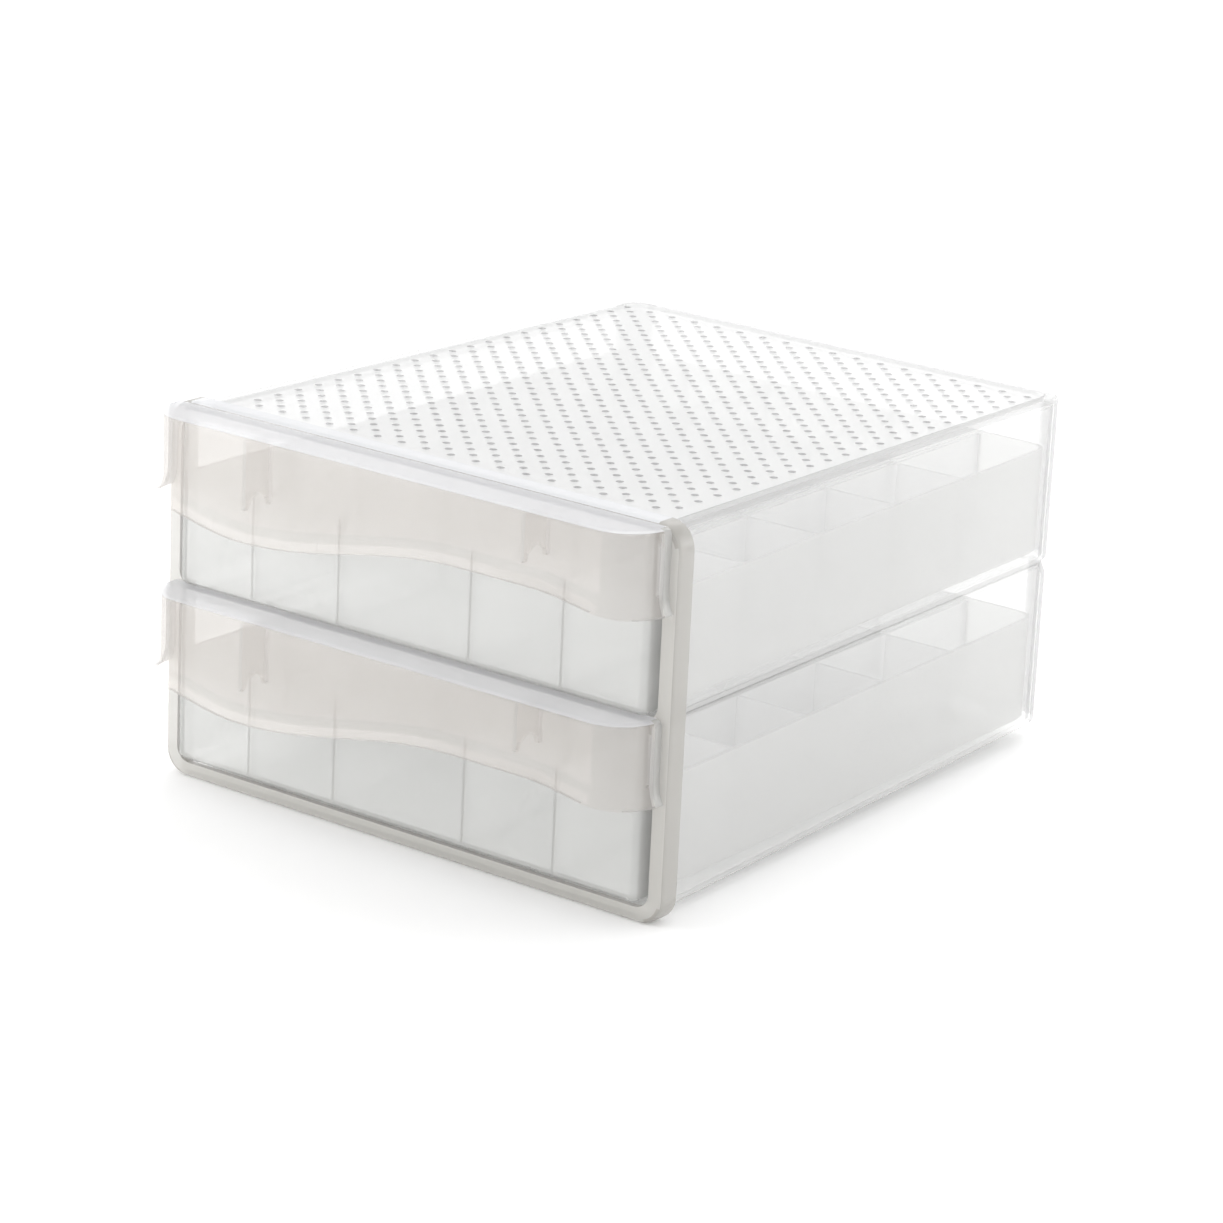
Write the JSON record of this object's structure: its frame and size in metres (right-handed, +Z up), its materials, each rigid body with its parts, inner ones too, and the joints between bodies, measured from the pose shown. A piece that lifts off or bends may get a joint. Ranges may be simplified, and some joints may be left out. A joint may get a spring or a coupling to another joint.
{
  "type": "two-tier drawer storage box",
  "caption": "Two-tier translucent plastic storage box: pull-out drawers with wavy finger-grip aprons and drop-in cell dividers, in a stacked case behind one front frame with a dotted top.",
  "frame": {"origin": "centre of the closed object's bounding box, on the surface it stands on", "axes": "+Z up, -Y out of the drawer fronts, +X to the right of someone facing the back, left gusset of the grips at -X"},
  "size_m": [0.2384, 0.3014, 0.15],
  "materials": {
    "frame": "translucent polypropylene, moulded gloss, thick section",
    "case": "translucent polypropylene, thin wall, moulded gloss",
    "panel": "milky white, fine matt, with a field of round dimples",
    "drawer": "translucent polypropylene, slightly warm, moulded gloss",
    "divider": "thin translucent polypropylene sheet, satin",
    "foot": "pale silicone, matt"
  },
  "bodies": {
    "case": {"front_frame": "frame", "case_upper": "case", "case_lower": "case", "top_panel": "panel", "rear_foot_left": "foot", "rear_foot_right": "foot"},
    "upper_drawer": {"drawer_upper": "drawer", "upper_long_divider_1": "divider", "upper_long_divider_2": "divider", "upper_long_divider_3": "divider", "upper_long_divider_4": "divider", "upper_cross_divider_1": "divider", "upper_cross_divider_2": "divider", "upper_cross_divider_3": "divider", "upper_cross_divider_4": "divider"},
    "lower_drawer": {"drawer_lower": "drawer", "lower_long_divider_1": "divider", "lower_long_divider_2": "divider", "lower_long_divider_3": "divider", "lower_long_divider_4": "divider", "lower_cross_divider_1": "divider", "lower_cross_divider_2": "divider", "lower_cross_divider_3": "divider", "lower_cross_divider_4": "divider"}
  },
  "joints": [
    {"name": "upper_drawer_slide", "type": "slide", "parent": "case", "child": "upper_drawer", "axis": [0, -1, 0], "range_m": [0, 0.2]},
    {"name": "lower_drawer_slide", "type": "slide", "parent": "case", "child": "lower_drawer", "axis": [0, -1, 0], "range_m": [0, 0.2]}
  ]
}
